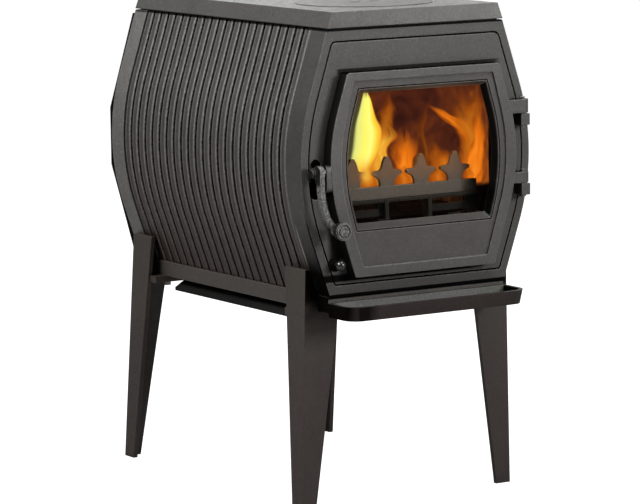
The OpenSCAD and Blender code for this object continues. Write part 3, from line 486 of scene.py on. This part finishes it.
def tongue(name, left, right, y, mat, bulge=8, wave=3, seed=0, nu=14, nv=44):
    """A flame: a wavy sheet between two outlines given from its foot to its tip."""
    L, R = smooth_path(left, nv), smooth_path(right, nv)
    verts, faces, uvs = [], [], []
    for j in range(nv + 1):
        for i in range(nu + 1):
            u, v = i / nu, j / nv
            x = L[j][0] * (1 - u) + R[j][0] * u
            z = L[j][1] * (1 - u) + R[j][1] * u
            q = noise.noise(Vector((u * 1.6 + seed, v * 3.1, seed * 2.7)))
            d = y + bulge * (0.5 - math.sin(math.pi * u)) + wave * math.sin(v * 7 + seed) + 5 * q
            verts.append(spot(x + 1.5 * q, d, z))
            uvs.append((u, v))
    for j in range(nv):
        for i in range(nu):
            a = j * (nu + 1) + i
            faces.append((a, a + 1, a + nu + 2, a + nu + 1))
    m = bpy.data.meshes.new(name)
    m.from_pydata(verts, [], faces)
    layer = m.uv_layers.new(name="UVMap")
    for p in m.polygons:
        p.use_smooth = True
        for li in p.loop_indices:
            layer.data[li].uv = uvs[m.loops[li].vertex_index]
    m.materials.append(mat)
    o = bpy.data.objects.new(name, m)
    scene.collection.objects.link(o)
    o.visible_shadow = False
    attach(o, "stove")
    return o


def flame_mat(name, stops, strength, edge=0.55, density=1.0, streak=(3.2, 1.6), top=0.72, foot=0.10, rag=0.6, seed=0.0, across=None):
    """Glowing gas, dense in the middle and thin at the edges and the tip."""
    g = Graph(name)
    uv = g.node("ShaderNodeTexCoord").outputs["UV"]
    u, v, _ = g.xyz(uv)
    vec = g.node("ShaderNodeMapping", {"Vector": uv, "Scale": (streak[0], streak[1], 1), "Location": (seed, seed * 1.7, seed)}).outputs["Vector"]
    n = g.noise(1.0, 4, 0.55, vec, 0.7)
    nn = g.math("SUBTRACT", n, 0.5)
    mid = g.math("SUBTRACT", 1.0, g.math("ABSOLUTE", g.math("SUBTRACT", g.math("MULTIPLY", u, 2.0), 1.0)))
    e = g.math("ADD", mid, g.math("MULTIPLY", nn, rag * 1.6))
    body = g.remap(e, 0.02, edge, 0, 1, True)
    tip = g.remap(g.math("ADD", v, g.math("MULTIPLY", nn, rag)), top, 1.0, 1, 0, True)
    low = g.remap(v, 0.0, foot, 0, 1, True)
    alpha = g.math("MULTIPLY", g.math("MULTIPLY", body, tip), g.math("MULTIPLY", low, density), clamp=True)
    hot = g.math("MULTIPLY", g.remap(e, 0.05, 1.15, 0, 1), g.remap(g.math("ABSOLUTE", g.math("SUBTRACT", v, 0.42)), 0.1, 0.62, 1.0, 0.45))
    hot = g.math("ADD", hot, g.math("MULTIPLY", nn, 0.35), clamp=True)
    col = g.ramp(hot, stops)
    if across is not None:
        side = g.ramp(g.math("ADD", u, g.math("MULTIPLY", nn, 0.25), clamp=True), across)
        col = g.mix(g.remap(v, 0.18, 0.46, 0, 1, True), col, side)
    em = g.node("ShaderNodeEmission", {"Color": col, "Strength": strength}).outputs[0]
    clear = g.node("ShaderNodeBsdfTransparent").outputs[0]
    return g.surface(g.node("ShaderNodeMixShader", {0: alpha, 1: clear, 2: em}).outputs[0])


YELLOW = [(0.0, (0.45, 0.12, 0.010)), (0.30, (0.72, 0.25, 0.020)), (0.60, (0.95, 0.45, 0.04)), (1.0, (1.0, 0.62, 0.08))]
ACROSS = [(0.0, (0.62, 0.66, 0.20)), (0.16, (0.82, 0.84, 0.22)), (0.36, (0.98, 0.93, 0.14)), (0.58, (1.0, 0.99, 0.24)), (0.76, (0.97, 0.74, 0.06)), (0.90, (0.93, 0.44, 0.03)), (1.0, (0.60, 0.16, 0.01))]
AMBER = [(0.0, (0.30, 0.07, 0.008)), (0.35, (0.80, 0.26, 0.016)), (0.7, (0.95, 0.46, 0.04)), (1.0, (1.0, 0.66, 0.08))]
ORANGE = [(0.0, (0.17, 0.030, 0.004)), (0.30, (0.45, 0.092, 0.005)), (0.62, (0.84, 0.190, 0.007)), (1.0, (1.0, 0.31, 0.022))]
LOW = [(0.0, (0.15, 0.026, 0.004)), (0.30, (0.36, 0.075, 0.005)), (0.62, (0.62, 0.135, 0.006)), (1.0, (0.82, 0.23, 0.016))]
BROWN = [(0.0, (0.036, 0.0085, 0.0060)), (0.35, (0.080, 0.0175, 0.0080)), (0.65, (0.135, 0.030, 0.009)), (0.85, (0.23, 0.055, 0.009)), (1.0, (0.36, 0.085, 0.010))]


def veil():
    """The glow that fills the firebox behind the single flames; partly a painted glow standing in for the firelit
    walls.
    """
    g = Graph("fire_haze")
    uv = g.node("ShaderNodeTexCoord").outputs["UV"]
    u, v, _ = g.xyz(uv)
    vec = g.node("ShaderNodeMapping", {"Vector": uv, "Scale": (5.2, 2.3, 1), "Location": (3.1, 0.4, 0)}).outputs["Vector"]
    n = g.noise(1.0, 5, 0.52, vec, 1.3)
    n2 = g.noise(2.6, 3, 0.5, vec, 0.8)
    heat = g.math("ADD", g.remap(n, 0.30, 0.72, 0.05, 0.70), g.remap(v, 0.0, 0.45, 0.34, 0.0))
    heat = g.math("ADD", heat, g.remap(n2, 0.3, 0.7, -0.12, 0.14))
    heat = g.math("ADD", heat, g.remap(u, 0.70, 1.0, 0.0, 0.28), clamp=True)
    glow = g.mix(g.remap(u, 0.315, 0.285, 0, 1), g.ramp(heat, BROWN), (0.070, 0.066, 0.030))
    em = g.node("ShaderNodeEmission", {"Color": glow, "Strength": 1.0}).outputs[0]
    clear = g.node("ShaderNodeBsdfTransparent").outputs[0]
    alpha = g.math("MULTIPLY", g.remap(v, 0.88, 1.0, 0.95, 0.55, True), g.remap(u, 0.0, 0.06, 0, 1, True))
    alpha = g.math("MULTIPLY", alpha, g.remap(v, 0.0, 0.05, 0, 1, True), clamp=True)
    mat = g.surface(g.node("ShaderNodeMixShader", {0: alpha, 1: clear, 2: em}).outputs[0])
    path = smooth_path([(-112, 140), (-75, 150), (-20, 158), (40, 150), (95, 140), (128, 122), (150, 100), (162, 78), (168, 60)], 48)
    nv = 26
    verts, faces, uvs = [], [], []
    for i, (x, y) in enumerate(path):
        for j in range(nv + 1):
            v = j / nv
            q = noise.noise(Vector((i * 0.13, v * 2.2, 4.0)))
            top = 610 if y < 130 else 606
            low = 455 - 0.164 * (y - 40)
            verts.append(spot(x + 4 * q, y + 5 * q, low + (top - low) * v))
            uvs.append((i / (len(path) - 1), v))
    for i in range(len(path) - 1):
        for j in range(nv):
            a = i * (nv + 1) + j
            faces.append((a, a + nv + 1, a + nv + 2, a + 1))
    m = bpy.data.meshes.new("fire_haze")
    m.from_pydata(verts, [], faces)
    layer = m.uv_layers.new(name="UVMap")
    for p in m.polygons:
        p.use_smooth = True
        for li in p.loop_indices:
            layer.data[li].uv = uvs[m.loops[li].vertex_index]
    m.materials.append(mat)
    o = bpy.data.objects.new("fire_haze", m)
    scene.collection.objects.link(o)
    o.visible_shadow = False
    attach(o, "stove")


def charred():
    g = Graph("charred_wood")
    x, y, z = g.xyz()
    cracks = g.voronoi(70, g.scaled(0.5, 1.0, 1.4), "DISTANCE_TO_EDGE")
    ash = g.noise(60, 4, 0.65)
    col = g.mix(g.remap(ash, 0.45, 0.7, 0, 1), (0.0025, 0.002, 0.002), (0.020, 0.018, 0.016))
    glow = g.math("MULTIPLY", g.remap(cracks, 0.0, 0.07, 1, 0), g.remap(g.noise(22, 3, 0.6), 0.4, 0.62, 0, 1))
    glow = g.math("MULTIPLY", glow, g.remap(z, 0.442, 0.470, 0, 1))
    col = g.mix(g.remap(y, Y0 + 0.170, Y0 + 0.120, 0, 1), col, (0.0012, 0.0010, 0.0010))
    shader = g.node("ShaderNodeBsdfPrincipled", {"Base Color": col, "Roughness": g.remap(ash, 0.3, 0.7, 0.8, 1.0), "Specular IOR Level": 0.08, "Normal": g.bump(cracks, 0.003, 0.8),
                    "Emission Color": g.ramp(glow, [(0, (0.0, 0.0, 0.0)), (0.4, (0.5, 0.06, 0.002)), (1, (1.0, 0.32, 0.03))])}).outputs["BSDF"]
    shader.node.inputs["Emission Strength"].default_value = 1.3
    return g.surface(shader)


def log(name, a, b, r, seed, mat):
    """A burnt split log from a to b with a lumpy, cracked surface."""
    a, b = spot(*a), spot(*b)
    axis = (b - a).normalized()
    side = axis.cross(Vector((0, 0, 1))).normalized()
    up = side.cross(axis)
    nr, nl = 26, 34
    verts, faces = [], []
    for j in range(nl + 1):
        t = j / nl
        end = min(1, min(t, 1 - t) * 14)
        for i in range(nr):
            w = 2 * math.pi * i / nr
            q = noise.noise(Vector((math.cos(w) * 1.3 + seed, math.sin(w) * 1.3, t * 5))) + 0.5 * noise.noise(Vector((math.cos(w) * 4, math.sin(w) * 4 + seed, t * 16)))
            rr = r * Z * (1 + 0.16 * q) * (0.80 + 0.20 * end ** 0.5)
            if math.sin(w + seed) > 0.55:
                rr *= 0.86  # the split face
            verts.append(a.lerp(b, t) + side * math.cos(w) * rr + up * math.sin(w) * rr)
    for j in range(nl):
        for i in range(nr):
            k = (i + 1) % nr
            faces.append((j * nr + i, j * nr + k, (j + 1) * nr + k, (j + 1) * nr + i))
    faces.append(tuple(reversed(range(nr))))
    faces.append(tuple(nl * nr + i for i in range(nr)))
    m = bpy.data.meshes.new(name)
    m.from_pydata(verts, [], faces)
    for p in m.polygons:
        p.use_smooth = len(p.vertices) == 4
    m.materials.append(mat)
    o = bpy.data.objects.new(name, m)
    scene.collection.objects.link(o)
    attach(o, "stove")


def embers(mat):
    """A low heap of embers on the fire bed and grate."""
    nx, ny = 70, 60
    verts, faces = [], []
    for j in range(ny + 1):
        for i in range(nx + 1):
            x = -128 + 256 * i / nx
            y = 62 + 250 * j / ny
            rim = min(1, min(i, nx - i, j, ny - j) / 5)
            h = 7 * abs(noise.noise(Vector((x * 0.075, y * 0.075, 0)))) + 7 * abs(noise.noise(Vector((x * 0.16, y * 0.16, 5))))
            verts.append(spot(x, y, 417 + (4 + 6 * (0.5 + noise.noise(Vector((x * 0.02, y * 0.02, 3)))) + h) * rim))
    for j in range(ny):
        for i in range(nx):
            k = j * (nx + 1) + i
            faces.append((k, k + 1, k + nx + 2, k + nx + 1))
    m = bpy.data.meshes.new("embers")
    m.from_pydata(verts, [], faces)
    m.materials.append(mat)
    for p in m.polygons:
        p.use_smooth = True
    o = bpy.data.objects.new("embers", m)
    scene.collection.objects.link(o)
    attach(o, "stove")


def fire():
    veil()
    hot = flame_mat("flame_yellow", YELLOW, 1.12, edge=0.26, density=1.0, streak=(2.6, 1.6), top=0.90, foot=0.26, rag=0.10, seed=0.3, across=ACROSS)
    mid = flame_mat("flame_orange", ORANGE, 1.08, edge=0.52, density=0.97, streak=(3.4, 2.2), top=0.70, foot=0.08, rag=0.75, seed=2.1)
    near = flame_mat("flame_amber", AMBER, 1.05, edge=0.60, density=0.95, streak=(3.0, 2.0), top=0.66, foot=0.10, rag=0.7, seed=7.7)
    veil_mat = flame_mat("flame_thin", YELLOW, 1.0, edge=0.9, density=0.80, streak=(2.0, 1.4), top=0.45, foot=0.35, rag=0.5, seed=4.9)
    low = flame_mat("flame_low", LOW, 0.84, edge=0.75, density=0.92, streak=(3.0, 1.2), top=0.55, foot=0.05, rag=0.5, seed=3.3)
    dim = flame_mat("flame_red", ORANGE, 0.30, edge=0.95, density=0.55, streak=(2.4, 1.8), top=0.50, foot=0.20, rag=0.9, seed=5.2)
    amid = flame_mat("flame_dusk", ORANGE, 0.62, edge=1.05, density=0.88, streak=(2.4, 2.6), top=0.55, foot=0.12, rag=1.0, seed=9.2)
    haze = flame_mat("flame_brown", ORANGE, 0.55, edge=0.95, density=0.75, streak=(2.8, 2.2), top=0.60, foot=0.18, rag=0.9, seed=8.4)
    tongue("flame_1", [(-42, 452), (-54, 464), (-61, 478), (-63, 492), (-64, 506), (-61, 524), (-58, 540), (-53, 556), (-45, 574), (-39, 590), (-34, 606)],
           [(-28, 452), (-22, 466), (-21, 480), (-18, 493), (-11, 507), (-5, 525), (-3, 545), (-12, 562), (-17, 577), (-21, 590), (-29, 604)], 85, hot, bulge=5, seed=1.0)
    tongue("flame_2", [(-34, 455), (-30, 480), (-26, 500), (-22, 514), (-18, 528), (-12, 540), (2, 558)],
           [(20, 455), (24, 480), (20, 497), (18, 511), (27, 521), (44, 531), (12, 558)], 100, near, seed=2.3)
    tongue("flame_3", [(14, 446), (16, 459), (14, 474), (11, 489), (8, 506), (8, 524), (26, 546)],
           [(62, 446), (62, 457), (61, 472), (63, 487), (70, 501), (72, 520), (46, 546)], 92, mid, seed=3.1)
    tongue("flame_4", [(74, 470), (76, 498), (75, 517), (72, 535), (75, 553), (76, 571), (88, 592)],
           [(102, 470), (99, 497), (98, 515), (95, 534), (100, 551), (101, 569), (114, 592)], 112, dim, seed=4.4)
    tongue("flame_5", [(142, 490), (134, 504), (128, 518), (120, 531), (108, 542), (92, 554), (78, 566), (64, 578)],
           [(168, 508), (164, 528), (152, 545), (134, 556), (116, 562), (94, 571), (79, 576), (66, 581)], 76, mid, bulge=4, seed=5.0)
    tongue("flame_6", [(118, 456), (118, 464), (116, 475), (112, 490), (116, 505), (123, 520), (126, 538), (134, 556), (146, 584)],
           [(164, 456), (165, 463), (167, 473), (167, 488), (166, 503), (164, 518), (163, 537), (162, 556), (160, 584)], 58, mid, bulge=4, seed=6.3)
    tongue("flame_7", [(64, 458), (66, 474), (69, 484), (74, 494), (86, 502), (102, 510)],
           [(126, 458), (129, 473), (130, 484), (129, 494), (124, 502), (108, 510)], 86, low, seed=7.1)
    tongue("flame_8", [(-72, 448), (-70, 462), (-68, 472), (-62, 481), (-53, 488), (-43, 494)],
           [(-14, 448), (-16, 462), (-17, 471), (-21, 479), (-30, 487), (-41, 494)], 68, low, seed=8.0)
    tongue("flame_9", [(-10, 446), (-8, 460), (-6, 470), (-2, 479), (7, 487), (18, 493)],
           [(46, 446), (44, 459), (43, 469), (39, 478), (32, 486), (20, 493)], 68, low, seed=9.4)
    tongue("flame_10", [(52, 444), (54, 458), (56, 467), (60, 475), (70, 482), (82, 488)],
           [(112, 444), (110, 456), (109, 465), (104, 473), (96, 481), (85, 488)], 68, low, seed=10.6)
    tongue("flame_11", [(115, 527), (109, 542), (105, 557), (111, 571), (125, 583), (141, 599)],
           [(177, 521), (177, 533), (177, 547), (175, 565), (169, 581), (157, 599)], 66, haze, seed=11.9)
    tongue("flame_14", [(107, 466), (109, 478), (103, 493), (101, 508), (101, 528), (89, 544), (79, 558), (83, 574), (95, 588), (111, 604)],
           [(167, 458), (169, 474), (169, 490), (168, 506), (167, 524), (166, 540), (164, 556), (161, 572), (151, 588), (131, 604)], 62, amid, seed=14.3)
    tongue("flame_15", [(74, 462), (76, 476), (78, 490), (84, 505), (92, 520)],
           [(140, 458), (142, 472), (140, 488), (134, 504), (112, 520)], 116, haze, seed=15.2)
    tongue("flame_12", [(4, 520), (0, 535), (-2, 550), (4, 566), (16, 580), (28, 598)],
           [(52, 520), (54, 535), (56, 550), (54, 566), (48, 580), (36, 598)], 128, haze, seed=12.6)
    tongue("flame_13", [(-94, 470), (-98, 482), (-99, 492), (-96, 502), (-90, 514)],
           [(-66, 470), (-64, 482), (-66, 492), (-70, 502), (-78, 514)], 12, veil_mat, bulge=3, wave=1, seed=13.1)
    wood = charred()
    log("log_1", (-96, 205, 446), (104, 168, 452), 24, 1.3, wood)
    log("log_2", (-70, 300, 452), (92, 262, 462), 27, 4.1, wood)
    log("log_3", (-58, 262, 492), (108, 214, 486), 22, 7.7, wood)
    embers(wood)

    def glow(name, x, y, z, power, radius, colour):
        d = bpy.data.lights.new(name, "POINT")
        d.energy = power
        d.shadow_soft_size = radius
        d.color = colour
        o = bpy.data.objects.new(name, d)
        o.location = spot(x, y, z)
        o.visible_camera = o.visible_glossy = o.visible_transmission = False
        scene.collection.objects.link(o)

    glow("fire_light_1", -10, 120, 535, 0.55, 0.03, (1.0, 0.42, 0.12))
    glow("fire_light_2", 100, 110, 530, 0.45, 0.03, (1.0, 0.38, 0.10))
    glow("fire_light_3", 20, 6, 566, 0.22, 0.01, (1.0, 0.68, 0.42))


fire()


# ---------------------------------------------------------------- stage
def stage():
    m = bpy.data.meshes.new("floor")
    s = 60
    m.from_pydata([(-s, -s, 0), (s, -s, 0), (s, s, 0), (-s, s, 0)], [], [(0, 1, 2, 3)])
    floor = bpy.data.objects.new("floor", m)
    scene.collection.objects.link(floor)
    g = Graph("floor")
    path = g.node("ShaderNodeLightPath")
    col = g.mix(g.remap(g.noise(0.7, 3, 0.5), 0.3, 0.7, 0, 1), (0.28, 0.28, 0.28), (0.30, 0.30, 0.297))
    shader = g.node("ShaderNodeBsdfPrincipled", {"Base Color": col, "Roughness": g.remap(g.noise(3, 3), 0.3, 0.7, 0.75, 0.85), "Specular IOR Level": 0.2,
                    "Emission Color": (1, 1, 1, 1), "Emission Strength": g.math("MULTIPLY", path.outputs["Is Camera Ray"], 0.98)}).outputs["BSDF"]
    m.materials.append(g.surface(shader))

    w = bpy.data.worlds.new("studio")
    scene.world = w
    w.use_nodes = True
    t = w.node_tree
    bg = t.nodes["Background"]
    lp = t.nodes.new("ShaderNodeLightPath")
    mr = t.nodes.new("ShaderNodeMapRange")
    mr.inputs["To Min"].default_value = 0.13
    mr.inputs["To Max"].default_value = 1.0
    t.links.new(lp.outputs["Is Camera Ray"], mr.inputs["Value"])
    t.links.new(mr.outputs["Result"], bg.inputs["Strength"])
    bg.inputs["Color"].default_value = (1, 1, 1, 1)

    def box_light(name, azimuth, elevation, distance, power, size, size_y=None, target=(0, 0, 0.45)):
        d = bpy.data.lights.new(name, "AREA")
        d.shape = "RECTANGLE"
        d.size = size
        d.size_y = size_y or size
        d.energy = power
        o = bpy.data.objects.new(name, d)
        a, e = math.radians(azimuth), math.radians(elevation)
        to = Vector((math.sin(a) * math.cos(e), -math.cos(a) * math.cos(e), math.sin(e)))
        o.location = Vector(target) + to * distance
        o.rotation_euler = to.to_track_quat("Z", "Y").to_euler()
        scene.collection.objects.link(o)

    box_light("key", 26, 16, 2.6, 36, 0.8, 0.8, (0, -0.28, 0.56))
    box_light("above", 8, 68, 1.9, 30, 0.9, 0.9, (0, -0.25, 0.6))
    box_light("left", -88, 42, 3.0, 100, 1.5, 1.2)
    box_light("fill", 122, 36, 3.2, 42, 1.8)
    box_light("top", 168, 17, 4.0, 34, 3.0, 1.5, (0, 0, 0.72))


stage()
